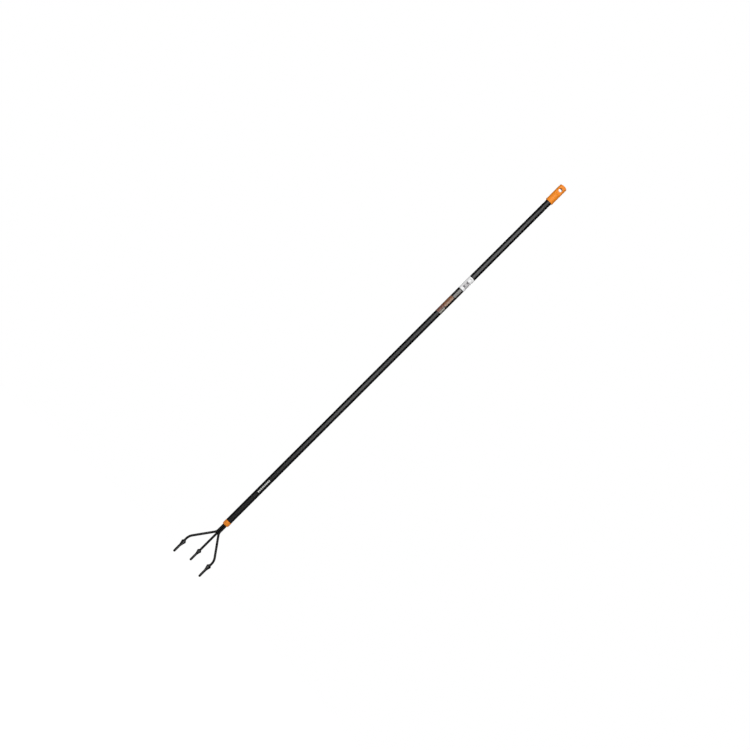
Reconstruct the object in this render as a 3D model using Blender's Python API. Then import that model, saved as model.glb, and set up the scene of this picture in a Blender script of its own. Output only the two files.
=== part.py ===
# Long-handled garden cultivator: a steel tube with a plastic end cap, a plastic ferrule and three hooked tines.
# It hangs by the hole in its end cap. The origin is the centre of that hole, the handle runs down along -Z,
# the tines hook forward to -Y, and +X is to the right as seen from the front. Metres and radians throughout.

import math

import bmesh
import bpy
from mathutils import Matrix, Vector

# Clearance between pieces that touch or fit into each other
FIT_GAP = 0.0003

# Handle tube, whose radius follows from the bundle of rods that it holds
TUBE_WALL = 0.0009
TUBE_LENGTH = 1.4295

# End cap
CAP_WALL = 0.0023
CAP_LENGTH = 0.0677
CAP_TOP = 0.0180  # apex above the centre of the hanging hole
CAP_DOME = 0.0010  # rise of the end face
CAP_CORNER_RADIUS = 0.0050
CAP_LIP_HEIGHT = 0.005
CAP_LIP_PROUD = 0.0002
CAP_FLOOR = 0.0032  # solid left between the cheeks and the end of the tube
CAP_PLUG_LENGTH = 0.025  # the part that stands inside the tube
CAP_PLUG_WALL = 0.0018
CAP_PLUG_FLOOR = 0.003  # solid left between the plug's hollow and the bore's floor

# Eye of the end cap: two flat cheeks with the hanging hole through them
CHEEK_DEPTH = 0.0026  # how far a cheek lies below the round cap
EYE_LENGTH_BELOW_HOLE = 0.0105
EYE_RUN_OUT = 0.007  # length over which a cheek sweeps back out to the round cap
HOLE_RADIUS = 0.0058
HOLE_CHAMFER = 0.0009

# Ferrule: a collar below the tube and a sleeve inside it
COLLAR_LENGTH = 0.0158
COLLAR_PROUD = 0.0004  # beyond the tube
COLLAR_END_WALL = 0.00085  # left round the rods at the collar's lower edge
COLLAR_SHOULDER = 0.003  # height of the rounding at the collar's lower edge
SLEEVE_WALL = 0.00075  # left round the rods inside the tube
SLEEVE_LENGTH = 0.060
SLEEVE_LEAD_IN = 0.002

# Roll pin across the tube, the ferrule and the two outer tines
PIN_RADIUS = 0.0015
PIN_WALL = 0.0005
PIN_SLOT = math.radians(40)
PIN_ABOVE_COLLAR = 0.022

# Tines: round rods, welded in a bundle of three, with forged points
ROD_RADIUS = 0.00375
ROD_INSET = 0.002  # rod ends below the top of the ferrule's sleeve
NECK_LENGTH = 0.032  # from the collar down to the corner where the outer tines splay
NECK_BEND_RADIUS = 0.022
SPLAY_ANGLE = math.radians(35.7)
SPREAD = 0.0556  # an outer tine's distance from the middle one
SPLAY_BEND_RADIUS = 0.034
OUTER_SHANK = 0.0068  # straight run between the lower bend and the hook
MIDDLE_SHANK = 0.1063  # straight run between the collar and the hook
HOOK_RADIUS = 0.038
HOOK_TURN = math.radians(132)
HOOK_TOE_IN = math.radians(1.1)
OUTER_LEG = 0.081
MIDDLE_LEG = 0.072

# Forged points, flattened from the rods
POINT_LENGTH_OUTER = 0.048
POINT_LENGTH_MIDDLE = 0.040
POINT_WIDTH_OUTER = 0.0160
POINT_WIDTH_MIDDLE = 0.0148
POINT_THICKNESS = 0.0040
POINT_WIDEST = 0.64  # how far along the point it is widest
POINT_FLARE = 1.25  # how hollow its flanks are: 1 is straight
TIP_WIDTH = 0.0018
TIP_THICKNESS = 0.0016

# Weld beads in the two grooves behind the neck
WELD_BELOW_COLLAR = 0.003
WELD_ABOVE_BEND = 0.001  # between a bead's lower end and the neck's bend
WELD_REACH = math.radians(50)  # how far round a rod the bead lies, from the line between two rods
WELD_CROWN = 0.0005
WELD_TAPER = 0.0020

# Labels stuck round the tube, with their slit at the back
WRAP_LABEL_BELOW_CAP = 0.3355
WRAP_LABEL_LENGTH = 0.0483
WRAP_LABEL_TURN = math.radians(325)
PRINTED_LABEL_BELOW_WRAP = 0.0012
PRINTED_LABEL_LENGTH = 0.0990
PRINTED_LABEL_TURN = math.radians(250)
LABEL_THICKNESS = 0.0002

# Smoothness of the facets
ROUND_STEPS = 48
ROD_SIDES = 16
ARC_STEP = math.radians(8)

# Places of the three rods round the handle's axis: two in front side by side, the third nested behind them
rod_pitch = 2 * ROD_RADIUS + FIT_GAP
bundle_radius = rod_pitch / math.sqrt(3)
outer_rod_x = rod_pitch / 2
outer_rod_y = -bundle_radius / 2
middle_rod_y = bundle_radius
rod_bore_radius = ROD_RADIUS + FIT_GAP

# Radii from the rods outward, so that each piece fits the one inside it
bores_reach = bundle_radius + rod_bore_radius
sleeve_radius = bores_reach + SLEEVE_WALL
tube_bore_radius = sleeve_radius + FIT_GAP
tube_radius = tube_bore_radius + TUBE_WALL
collar_radius = tube_radius + COLLAR_PROUD
collar_end_radius = bores_reach + COLLAR_END_WALL
cap_bore_radius = tube_radius + FIT_GAP
cap_radius = cap_bore_radius + CAP_WALL
cheek_y = cap_radius - CHEEK_DEPTH

# Places along the handle
cap_mouth_z = CAP_TOP - CAP_LENGTH
cap_bore_floor_z = -EYE_LENGTH_BELOW_HOLE - EYE_RUN_OUT - CAP_FLOOR
tube_top_z = cap_bore_floor_z - FIT_GAP
tube_bottom_z = tube_top_z - TUBE_LENGTH
collar_top_z = tube_bottom_z - FIT_GAP
collar_bottom_z = collar_top_z - COLLAR_LENGTH
pin_z = collar_top_z + PIN_ABOVE_COLLAR
rod_top_z = collar_top_z + SLEEVE_LENGTH - ROD_INSET


def clear_scene():
    for obj in list(bpy.data.objects):
        bpy.data.objects.remove(obj, do_unlink=True)


def make_material(name, colour, roughness, metallic=0.0):
    material = bpy.data.materials.new(name)
    material.use_nodes = True
    shader = material.node_tree.nodes["Principled BSDF"]
    shader.inputs["Base Color"].default_value = (*colour, 1.0)
    shader.inputs["Roughness"].default_value = roughness
    shader.inputs["Metallic"].default_value = metallic
    material.diffuse_color = (*colour, 1.0)
    return material


def place(name, mesh, material, parent, location=(0, 0, 0)):
    mesh.materials.append(material)
    mesh.shade_smooth()
    obj = bpy.data.objects.new(name, mesh)
    obj.location = location
    obj.parent = parent
    bpy.context.scene.collection.objects.link(obj)
    return obj


def turned(name, profile, closed, material, parent, location=(0, 0, 0)):
    """A piece turned round Z from (radius, height) points, which run down its outer side first."""
    mesh = bpy.data.meshes.new(name)
    edges = [(i, i + 1) for i in range(len(profile) - 1)]
    if closed:
        edges.append((len(profile) - 1, 0))
    mesh.from_pydata([(radius, 0, height) for radius, height in profile], edges, [])
    obj = place(name, mesh, material, parent, location)
    screw = obj.modifiers.new("Turn", "SCREW")
    screw.steps = ROUND_STEPS
    screw.render_steps = ROUND_STEPS
    screw.use_merge_vertices = True
    screw.merge_threshold = 0.00001
    screw.use_smooth_shade = True
    return obj


def lofted(name, rings, material, parent, location=(0, 0, 0)):
    """A closed piece skinned over rings that all have the same number of points."""
    body = bmesh.new()
    loops = [[body.verts.new(point) for point in ring] for ring in rings]
    count = len(loops[0])
    for lower, upper in zip(loops, loops[1:]):
        for i in range(count):
            j = (i + 1) % count
            body.faces.new((lower[i], lower[j], upper[j], upper[i]))
    body.faces.new(reversed(loops[0]))
    body.faces.new(loops[-1])
    bmesh.ops.recalc_face_normals(body, faces=body.faces)
    mesh = bpy.data.meshes.new(name)
    body.to_mesh(mesh)
    body.free()
    obj = place(name, mesh, material, parent, location)
    mesh.set_sharp_from_angle(angle=math.radians(40))
    return obj


def as_cutter(obj):
    obj.hide_render = True
    obj.display_type = "WIRE"
    return obj


def cut(obj, cutter):
    boolean = obj.modifiers.new("Cut " + cutter.name, "BOOLEAN")
    boolean.operation = "DIFFERENCE"
    boolean.solver = "EXACT"
    boolean.object = cutter


def arc(centre_a, centre_b, radius, start, end, count):
    """Points of an arc in a plane, from the angle start to the angle end."""
    angles = [start + (end - start) * i / count for i in range(count + 1)]
    return [(centre_a + radius * math.cos(a), centre_b + radius * math.sin(a)) for a in angles]


def rod_cutter(name, radius, bottom, top, x, y, material, parent):
    profile = [(0, top), (radius, top), (radius, bottom), (0, bottom)]
    return as_cutter(turned(name, profile, False, material, parent, (x, y, 0)))


def make_pin_hole(material, parent):
    """The hole across the handle for the roll pin, through the two outer rods' centre lines."""
    reach = 2 * tube_radius
    cutter = rod_cutter("pin_hole_cutter", PIN_RADIUS + FIT_GAP, -reach, reach, 0, 0, material, parent)
    cutter.location = (0, outer_rod_y, pin_z)
    cutter.rotation_euler = (0, math.pi / 2, 0)
    return cutter


def make_tube(parent, pin_hole):
    material = make_material("black_coated_steel", (0.018, 0.018, 0.019), 0.38)
    profile = [
        (tube_radius, 0),
        (tube_radius, -TUBE_LENGTH),
        (tube_bore_radius, -TUBE_LENGTH),
        (tube_bore_radius, 0),
    ]
    tube = turned("handle_tube", profile, True, material, parent, (0, 0, tube_top_z))
    cut(tube, pin_hole)


def make_cheek_cutter(name, side, material, parent):
    """Takes the round cap down to a flat cheek on one side, and sweeps back out below it."""
    depth = CHEEK_DEPTH + CAP_LIP_PROUD
    sweep_radius = (EYE_RUN_OUT**2 + depth**2) / (2 * depth)
    sweep_angle = math.asin(EYE_RUN_OUT / sweep_radius)
    flat_end_z = -EYE_LENGTH_BELOW_HOLE
    outside_y = 2 * cap_radius
    above_z = CAP_TOP + cap_radius
    sweep = arc(cheek_y + sweep_radius, flat_end_z, sweep_radius, math.pi, math.pi + sweep_angle, 6)
    outline = [(outside_y, above_z), (cheek_y, above_z), *sweep, (outside_y, sweep[-1][1])]
    rings = [[(x, side * y, z) for y, z in outline] for x in (-outside_y, outside_y)]
    return as_cutter(lofted(name, rings, material, parent))


def make_hole_cutter(material, parent):
    """The hanging hole, which widens to a chamfer at each cheek."""
    outer = cheek_y + HOLE_RADIUS
    outer_radius = HOLE_RADIUS + HOLE_CHAMFER + HOLE_RADIUS
    profile = [
        (0, outer),
        (outer_radius, outer),
        (HOLE_RADIUS, cheek_y - HOLE_CHAMFER),
        (HOLE_RADIUS, HOLE_CHAMFER - cheek_y),
        (outer_radius, -outer),
        (0, -outer),
    ]
    cutter = as_cutter(turned("hanging_hole_cutter", profile, False, material, parent))
    cutter.rotation_euler = (math.pi / 2, 0, 0)
    return cutter


def make_end_cap(parent):
    material = make_material("orange_plastic", (0.90, 0.26, 0.015), 0.32)
    end_radius = cap_radius - CAP_CORNER_RADIUS
    corner_z = CAP_TOP - CAP_DOME - CAP_CORNER_RADIUS
    corner = arc(end_radius, corner_z, CAP_CORNER_RADIUS, math.pi / 2, 0, 7)
    dome = [(end_radius * share, CAP_TOP - CAP_DOME * share**2) for share in (0, 0.35, 0.7)]
    lip_radius = cap_radius + CAP_LIP_PROUD
    lip_top_z = cap_mouth_z + CAP_LIP_HEIGHT
    lip_round = CAP_LIP_PROUD + FIT_GAP
    plug_radius = tube_bore_radius - FIT_GAP
    plug_end_z = cap_bore_floor_z - CAP_PLUG_LENGTH
    hollow_radius = plug_radius - CAP_PLUG_WALL
    hollow_top_z = cap_bore_floor_z - CAP_PLUG_FLOOR
    profile = [
        *dome,
        *corner,
        (cap_radius, lip_top_z + CAP_LIP_PROUD),
        (lip_radius, lip_top_z),
        (lip_radius, cap_mouth_z + lip_round),
        (lip_radius - lip_round, cap_mouth_z),
        (cap_bore_radius, cap_mouth_z),
        (cap_bore_radius, cap_bore_floor_z),
        (plug_radius, cap_bore_floor_z),
        (plug_radius, plug_end_z + FIT_GAP),
        (plug_radius - FIT_GAP, plug_end_z),
        (hollow_radius, plug_end_z),
        (hollow_radius, hollow_top_z),
        (0, hollow_top_z),
    ]
    cap = turned("end_cap", profile, False, material, parent)
    cut(cap, make_cheek_cutter("front_cheek_cutter", -1, material, parent))
    cut(cap, make_cheek_cutter("rear_cheek_cutter", 1, material, parent))
    cut(cap, make_hole_cutter(material, parent))


def make_ferrule(parent, pin_hole):
    """The collar closes the tube's lower end, and its sleeve grips the bundle of rods inside the tube."""
    material = make_material("orange_ferrule_plastic", (0.86, 0.24, 0.012), 0.36)
    barrel_end_radius = collar_radius - FIT_GAP
    profile = [
        (0, SLEEVE_LENGTH),
        (sleeve_radius - SLEEVE_WALL / 2, SLEEVE_LENGTH),
        (sleeve_radius, SLEEVE_LENGTH - SLEEVE_LEAD_IN),
        (sleeve_radius, 0),
        (barrel_end_radius - FIT_GAP, 0),
        (barrel_end_radius, -FIT_GAP),
        (collar_radius, -COLLAR_LENGTH * 0.4),
        (collar_radius, -COLLAR_LENGTH * 0.6),
        (barrel_end_radius, COLLAR_SHOULDER - COLLAR_LENGTH),
        ((barrel_end_radius + collar_end_radius) / 2, COLLAR_SHOULDER / 4 - COLLAR_LENGTH),
        (collar_end_radius, -COLLAR_LENGTH),
        (0, -COLLAR_LENGTH),
    ]
    ferrule = turned("ferrule", profile, False, material, parent, (0, 0, collar_top_z))
    bottom = collar_bottom_z - COLLAR_LENGTH
    top = rod_top_z + COLLAR_LENGTH
    bores = (
        ("left", rod_bore_radius, -outer_rod_x, outer_rod_y),
        ("right", rod_bore_radius, outer_rod_x, outer_rod_y),
        ("middle", rod_bore_radius, 0, middle_rod_y),
        ("core", bundle_radius / 2, 0, 0),
    )
    for name, radius, x, y in bores:
        cut(ferrule, rod_cutter(name + "_bore_cutter", radius, bottom, top, x, y, material, parent))
    cut(ferrule, pin_hole)


def make_roll_pin(parent):
    """A rolled spring pin, open along one side, in the hole across the handle."""
    material = make_material("spring_steel", (0.35, 0.34, 0.33), 0.35, 1.0)
    half_length = math.sqrt(tube_radius**2 - outer_rod_y**2) - FIT_GAP
    start = PIN_SLOT / 2
    outer = arc(0, 0, PIN_RADIUS, start, 2 * math.pi - start, 20)
    inner = arc(0, 0, PIN_RADIUS - PIN_WALL, 2 * math.pi - start, start, 20)
    rings = [[(x, y, z) for y, z in outer + inner] for x in (-half_length, half_length)]
    lofted("roll_pin", rings, material, parent, (0, outer_rod_y, pin_z))


def rounded_path(corners, radii):
    """Points and directions along a rod: straight runs between corners, each corner rounded to its radius."""
    path = [(corners[0], (corners[1] - corners[0]).normalized())]
    for i, radius in enumerate(radii, start=1):
        before = (corners[i] - corners[i - 1]).normalized()
        after = (corners[i + 1] - corners[i]).normalized()
        turn = before.angle(after)
        axis = before.cross(after).normalized()
        start = corners[i] - before * radius * math.tan(turn / 2)
        centre = start + axis.cross(before) * radius
        count = math.ceil(turn / ARC_STEP)
        for k in range(count + 1):
            rotation = Matrix.Rotation(turn * k / count, 3, axis)
            path.append((centre + rotation @ (start - centre), rotation @ before))
    return path


def point_half_sizes(along, width):
    """Half width and half thickness of a forged point, from 0 at the rod to 1 at the tip."""
    if along < POINT_WIDEST:
        share = along / POINT_WIDEST
        half_width = ROD_RADIUS + (width / 2 - ROD_RADIUS) * share**POINT_FLARE
        ease = share * share * (3 - 2 * share)
        return half_width, ROD_RADIUS + (POINT_THICKNESS / 2 - ROD_RADIUS) * ease
    share = (along - POINT_WIDEST) / (1 - POINT_WIDEST)
    half_width = (width + (TIP_WIDTH - width) * share) / 2
    return half_width, (POINT_THICKNESS + (TIP_THICKNESS - POINT_THICKNESS) * share) / 2


def tine_rings(corners, radii, point_length, point_width):
    """Sections of a tine: round along the rod, then flattened and spread to the forged point."""
    path = rounded_path(corners, radii)
    last = (corners[-1] - corners[-2]).normalized()
    point_start = corners[-1] - last * point_length
    count = 14
    sizes = [(ROD_RADIUS, ROD_RADIUS)] * len(path)
    for i in range(count + 1):
        along = i / count
        path.append((point_start + last * point_length * along, last))
        sizes.append(point_half_sizes(along, point_width))
    rings = []
    across = Vector((1, 0, 0))
    previous = path[0][1]
    for (point, direction), (half_width, half_thickness) in zip(path, sizes):
        across = previous.rotation_difference(direction) @ across
        previous = direction
        normal = direction.cross(across)
        angles = [2 * math.pi * k / ROD_SIDES for k in range(ROD_SIDES)]
        rings.append(
            [point + across * half_width * math.cos(a) + normal * half_thickness * math.sin(a) for a in angles]
        )
    return rings


def hook_corners(start, forward, leg):
    """The corner of the hook below its start, and the tip at the end of its leg."""
    reach = HOOK_RADIUS * math.tan(HOOK_TURN / 2)
    corner = start - Vector((0, 0, reach))
    leg_direction = forward * math.sin(HOOK_TURN) - Vector((0, 0, math.cos(HOOK_TURN)))
    return [corner, corner + leg_direction * (reach + leg)]


def make_outer_tine(name, side, parent, pin_hole):
    material = make_material(name + "_black_steel", (0.012, 0.012, 0.012), 0.45)
    rise = rod_top_z - collar_bottom_z
    neck_x = side * outer_rod_x
    splay_x = side * SPREAD
    splay_drop = (SPREAD - outer_rod_x) / math.tan(SPLAY_ANGLE)
    splay_z = -NECK_LENGTH - splay_drop
    bend_end = SPLAY_BEND_RADIUS * math.tan(SPLAY_ANGLE / 2)
    hook_start = Vector((splay_x, outer_rod_y, splay_z - bend_end - OUTER_SHANK))
    forward = Vector((-side * math.sin(HOOK_TOE_IN), -math.cos(HOOK_TOE_IN), 0))
    corners = [
        Vector((neck_x, outer_rod_y, rise)),
        Vector((neck_x, outer_rod_y, -NECK_LENGTH)),
        Vector((splay_x, outer_rod_y, splay_z)),
        *hook_corners(hook_start, forward, OUTER_LEG),
    ]
    radii = [NECK_BEND_RADIUS, SPLAY_BEND_RADIUS, HOOK_RADIUS]
    rings = tine_rings(corners, radii, POINT_LENGTH_OUTER, POINT_WIDTH_OUTER)
    tine = lofted(name, rings, material, parent, (0, 0, collar_bottom_z))
    cut(tine, pin_hole)


def make_middle_tine(parent):
    material = make_material("tine_middle_black_steel", (0.012, 0.012, 0.012), 0.45)
    rise = rod_top_z - collar_bottom_z
    hook_start = Vector((0, middle_rod_y, -MIDDLE_SHANK))
    corners = [
        Vector((0, middle_rod_y, rise)),
        *hook_corners(hook_start, Vector((0, -1, 0)), MIDDLE_LEG),
    ]
    rings = tine_rings(corners, [HOOK_RADIUS], POINT_LENGTH_MIDDLE, POINT_WIDTH_MIDDLE)
    lofted("tine_middle", rings, material, parent, (0, 0, collar_bottom_z))


def weld_section(side, swell):
    """Outline of a weld bead in the groove between the middle rod and one outer rod, seen from above."""
    outer = Vector((side * outer_rod_x, outer_rod_y))
    middle = Vector((0, middle_rod_y))
    centre = (outer + middle) / 2
    along = (middle - outer).normalized()
    outward = centre.normalized()
    half_pitch = rod_pitch / 2
    root_angle = math.acos(half_pitch / rod_bore_radius)
    reach = root_angle + (WELD_REACH - root_angle) * swell
    seat = arc(half_pitch, 0, rod_bore_radius, math.pi - root_angle, math.pi - reach, 4)
    crown_half, crown_base = seat[-1]
    crown = [(crown_half / 2, crown_base + 0.75 * WELD_CROWN * swell), (0, crown_base + WELD_CROWN * swell)]
    half = seat + crown
    outline = half + [(-a, b) for a, b in reversed(half[1:-1])]
    return [centre + along * a + outward * b for a, b in outline]


def make_weld(name, side, parent):
    material = make_material(name + "_black_steel", (0.014, 0.014, 0.014), 0.55)
    top = -WELD_BELOW_COLLAR
    bend_start = NECK_BEND_RADIUS * math.tan(SPLAY_ANGLE / 2) - NECK_LENGTH
    bottom = bend_start + WELD_ABOVE_BEND
    levels = (
        (top, 0.35),
        (top - WELD_TAPER, 1.0),
        (bottom + WELD_TAPER, 1.0),
        (bottom, 0.35),
    )
    rings = [[(x, y, z) for x, y in weld_section(side, swell)] for z, swell in levels]
    lofted(name, rings, material, parent, (0, 0, collar_bottom_z))


def make_label(name, top_z, length, turn, colour, parent):
    """A label's film, wrapped round the tube from one side of its slit at the back to the other."""
    material = make_material(name + "_film", colour, 0.45)
    inner = tube_radius + FIT_GAP
    outer = inner + LABEL_THICKNESS
    slit = (2 * math.pi - turn) / 2
    count = math.ceil(turn / (2 * math.pi / ROUND_STEPS))
    rings = []
    for i in range(count + 1):
        angle = math.pi / 2 + slit + turn * i / count
        ray = Vector((math.cos(angle), math.sin(angle), 0))
        corners = ((inner, -length), (outer, -length), (outer, 0), (inner, 0))
        rings.append([ray * radius + Vector((0, 0, height)) for radius, height in corners])
    lofted(name, rings, material, parent, (0, 0, top_z))


def build():
    clear_scene()
    cultivator = bpy.data.objects.new("cultivator", None)
    bpy.context.scene.collection.objects.link(cultivator)
    cutter_material = make_material("cutter", (0.5, 0.5, 0.5), 0.5)
    pin_hole = make_pin_hole(cutter_material, cultivator)

    make_tube(cultivator, pin_hole)
    make_end_cap(cultivator)
    make_ferrule(cultivator, pin_hole)
    make_roll_pin(cultivator)
    make_outer_tine("tine_left", -1, cultivator, pin_hole)
    make_outer_tine("tine_right", 1, cultivator, pin_hole)
    make_middle_tine(cultivator)
    make_weld("weld_bead_left", -1, cultivator)
    make_weld("weld_bead_right", 1, cultivator)

    wrap_top_z = cap_mouth_z - WRAP_LABEL_BELOW_CAP
    printed_top_z = wrap_top_z - WRAP_LABEL_LENGTH - PRINTED_LABEL_BELOW_WRAP
    make_label("wrap_label", wrap_top_z, WRAP_LABEL_LENGTH, WRAP_LABEL_TURN, (0.85, 0.85, 0.85), cultivator)
    make_label(
        "printed_label", printed_top_z, PRINTED_LABEL_LENGTH, PRINTED_LABEL_TURN, (0.06, 0.045, 0.035), cultivator
    )


build()
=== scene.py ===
import math
from functools import partial

import bmesh
import bpy
from mathutils import Matrix, Vector


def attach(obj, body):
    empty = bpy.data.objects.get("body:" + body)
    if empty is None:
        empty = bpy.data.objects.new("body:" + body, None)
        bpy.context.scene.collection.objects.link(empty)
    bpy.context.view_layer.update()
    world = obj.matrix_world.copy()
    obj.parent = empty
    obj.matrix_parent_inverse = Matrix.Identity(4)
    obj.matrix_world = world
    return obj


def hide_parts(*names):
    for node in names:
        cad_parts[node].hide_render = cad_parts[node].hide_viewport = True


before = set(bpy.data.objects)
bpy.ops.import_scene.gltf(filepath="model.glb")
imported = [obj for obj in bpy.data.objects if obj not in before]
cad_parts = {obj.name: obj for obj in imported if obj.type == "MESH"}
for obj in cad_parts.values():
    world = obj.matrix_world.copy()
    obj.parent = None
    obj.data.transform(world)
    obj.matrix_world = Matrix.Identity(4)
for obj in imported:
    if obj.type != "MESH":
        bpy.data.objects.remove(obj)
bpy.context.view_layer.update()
print("frame loaded:", sorted(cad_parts))

scene = bpy.context.scene
scene.view_settings.view_transform = "Standard"
collection = scene.collection

# Facts that several pieces share, in metres: the tube, and the bundle of three rods that it holds
shared = {
    "tubeRadius": 0.0105033,
    "tubeTop": -0.0210,
    "tubeBottom": -1.4505,
    "collarTop": -1.4508,
    "collarBottom": -1.4666,
    "rodRadius": 0.00375,
    "rodX": 0.0039,  # the two front rods
    "frontY": -0.0022517,
    "middleY": 0.0045033,  # the third rod, nested behind them
    "rodTop": -1.3928,
    "pinZ": -1.4288,
    "pinHole": 0.0018,
    "fitGap": 0.0003,
    "sharpTurn": math.radians(32),  # edges that turn by more than this stay sharp
}

# The kinds of node that come up most; mapRange takes value, from min, from max, to min and to max in order
maths, vectorMaths, mapRange = "ShaderNodeMath", "ShaderNodeVectorMath", "ShaderNodeMapRange"
noise, mix, bumpMap = "ShaderNodeTexNoise", "ShaderNodeMix", "ShaderNodeBump"
splitXYZ, joinXYZ = "ShaderNodeSeparateXYZ", "ShaderNodeCombineXYZ"
ownPosition, setPosition = "GeometryNodeInputPosition", "GeometryNodeSetPosition"
circleCurve, curveToMesh = "GeometryNodeCurvePrimitiveCircle", "GeometryNodeCurveToMesh"


# Small helpers

def toLinear(hexColour):
    shares = [int(hexColour[i:i + 2], 16) / 255 for i in (1, 3, 5)]
    return (*[s / 12.92 if s <= 0.04045 else ((s + 0.055) / 1.055) ** 2.4 for s in shares], 1.0)


def setSockets(tree, node, sockets):
    # gives a node's inputs, by name or in order, their values or links; a node stands for its first output
    # that is in use
    named = sockets if isinstance(sockets, dict) else dict(enumerate(sockets))
    for name, value in named.items():
        if isinstance(value, bpy.types.Node):
            value = next(output for output in value.outputs if output.enabled)
        if isinstance(value, bpy.types.NodeSocket):
            tree.links.new(value, node.inputs[name])
        else:
            node.inputs[name].default_value = value


def addNode(tree, kind, sockets=(), **settings):
    node = tree.nodes.new(kind)
    for name, value in settings.items():
        setattr(node, name, value)
    setSockets(tree, node, sockets)
    return node


def newMaterial(name, viewColour):
    # a material, a short way to add nodes to it, and the coordinates that its patterns read
    material = bpy.data.materials.new(name)
    material.use_nodes = True
    material.diffuse_color = toLinear(viewColour)
    add = partial(addNode, material.node_tree)
    return material, add, add("ShaderNodeTexCoord").outputs["Object"]


def paint(material, tone, roughness, relief, others=()):
    # links the shader's own sockets; the relief is its bump's height, strength and depth in metres
    tree, (height, strength, depth) = material.node_tree, relief
    bump = addNode(tree, bumpMap, {"Height": height, "Strength": strength, "Distance": depth})
    setSockets(tree, tree.nodes["Principled BSDF"], {
        "Base Color": tone, "Roughness": roughness, "Normal": bump, **dict(others)})
    return material


def arcPoints(centre, radius, start, end, count):
    angles = [math.radians(start + (end - start) * i / count) for i in range(count + 1)]
    return [(centre[0] + radius * math.cos(a), centre[1] + radius * math.sin(a)) for a in angles]


def wallPoints(radius, *heights):
    return [(radius, height) for height in heights]


def ease(share):
    share = min(max(share, 0.0), 1.0)
    return share * share * (3 - 2 * share)


def skinRings(name, rings):
    # joins rings of equal count into a closed skin, and a ring of one point is a pole
    body = bmesh.new()
    loops = [[body.verts.new(point) for point in ring] for ring in rings]
    count = max(len(loop) for loop in loops)
    for first, second in zip(loops, loops[1:]):
        for i in range(count):
            j = (i + 1) % count
            corners = [loop[k % len(loop)] for loop, k in ((first, i), (first, j), (second, j), (second, i))]
            body.faces.new([*dict.fromkeys(corners)])  # a pole comes in once
    if len(loops[0]) > 1:
        body.faces.new(reversed(loops[0]))
    if len(loops[-1]) > 1:
        body.faces.new(loops[-1])
    bmesh.ops.recalc_face_normals(body, faces=body.faces)
    mesh = bpy.data.meshes.new(name)
    body.to_mesh(mesh)
    body.free()
    mesh.shade_smooth()
    return mesh


def turnedRings(profile, steps):
    # rings round Z from (radius, height) points
    turns = [2 * math.pi * i / steps for i in range(steps)]
    rings = []
    for radius, height in profile:
        if radius < 1e-7:
            rings.append([Vector((0, 0, height))])
        else:
            rings.append([Vector((radius * math.cos(a), radius * math.sin(a), height)) for a in turns])
    return rings


def addObject(name, data, turn=None):
    if turn:
        data.transform(turn)
    piece = bpy.data.objects.new(name, data)
    collection.objects.link(piece)
    return piece


def workedMesh(piece):
    # a plain copy of the piece's mesh with its modifiers worked in
    graph = bpy.context.evaluated_depsgraph_get()
    return bpy.data.meshes.new_from_object(piece.evaluated_get(graph))


def addSheet(name, points, faces, material):
    mesh = bpy.data.meshes.new(name)
    mesh.from_pydata(points, [], faces)
    mesh.materials.append(material)
    return addObject(name, mesh)


def rodCutter(name, radius, low, high, turn, steps=48):
    rings = turnedRings([(0, high), (radius, high), (radius, low), (0, low)], steps)
    return addObject(name, skinRings(name, rings), turn)


def pinHoleCutter():
    reach = 0.02
    turn = Matrix.Translation((0, shared["frontY"], shared["pinZ"])) @ Matrix.Rotation(math.pi / 2, 4, "Y")
    return rodCutter("pinHoleCutter", shared["pinHole"], -reach, reach, turn)


def carve(piece, cutters):
    # takes the cutters out of the piece for good, so that no modifier is left on it
    for cutter in cutters:
        boolean = piece.modifiers.new("Cut", "BOOLEAN")
        boolean.operation = "DIFFERENCE"
        boolean.solver = "EXACT"
        boolean.object = cutter
    mesh = workedMesh(piece)
    piece.modifiers.clear()
    piece.data = mesh
    for cutter in cutters:
        bpy.data.objects.remove(cutter)
    mesh.shade_smooth()
    mesh.set_sharp_from_angle(angle=shared["sharpTurn"])


def finishPiece(piece, material, slotName, *nodeNames):
    piece.data.materials.clear()
    piece.data.materials.append(material)
    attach(piece, "root")
    if nodeNames:
        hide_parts(*nodeNames)
    print("made", piece.name, len(piece.data.polygons), "faces")


def newTree(name, sockets):
    # a Geometry Nodes tree with named inputs, a short way to add nodes to it, and its inputs
    tree = bpy.data.node_groups.new(name, "GeometryNodeTree")
    for label, kind in {"Geometry": "Geometry", **sockets}.items():
        tree.interface.new_socket(label, in_out="INPUT", socket_type="NodeSocket" + kind)
    tree.interface.new_socket("Geometry", in_out="OUTPUT", socket_type="NodeSocketGeometry")
    add = partial(addNode, tree)
    return tree, add, add("NodeGroupInput").outputs


def endTree(tree, geometry, material):
    real = addNode(tree, "GeometryNodeRealizeInstances", (geometry,))
    smooth = addNode(tree, "GeometryNodeSetShadeSmooth", (real,))
    painted = addNode(tree, "GeometryNodeSetMaterial", {"Geometry": smooth, "Material": material})
    addNode(tree, "NodeGroupOutput", (painted,))
    return tree


def sweepCircle(tree, curve, radius, sides, values):
    # carries a circle along the curve, and gives the mesh, the curve's values at each of its points, and the
    # direction out from the curve
    kept = addNode(tree, "GeometryNodeCaptureAttribute", (curve,))
    for label, value in values.items():
        kept.capture_items.new("VECTOR" if value.type == "VECTOR" else "FLOAT", label)
        tree.links.new(value, kept.inputs[label])
    circle = addNode(tree, circleCurve, {"Resolution": sides, "Radius": radius})
    swept = addNode(tree, curveToMesh, {"Curve": kept, "Profile Curve": circle, "Fill Caps": True})
    offset = addNode(tree, vectorMaths, (values["Centre"], kept.outputs["Centre"]), operation="SUBTRACT")
    return swept, kept.outputs, addNode(tree, vectorMaths, (offset,), operation="NORMALIZE")


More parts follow.
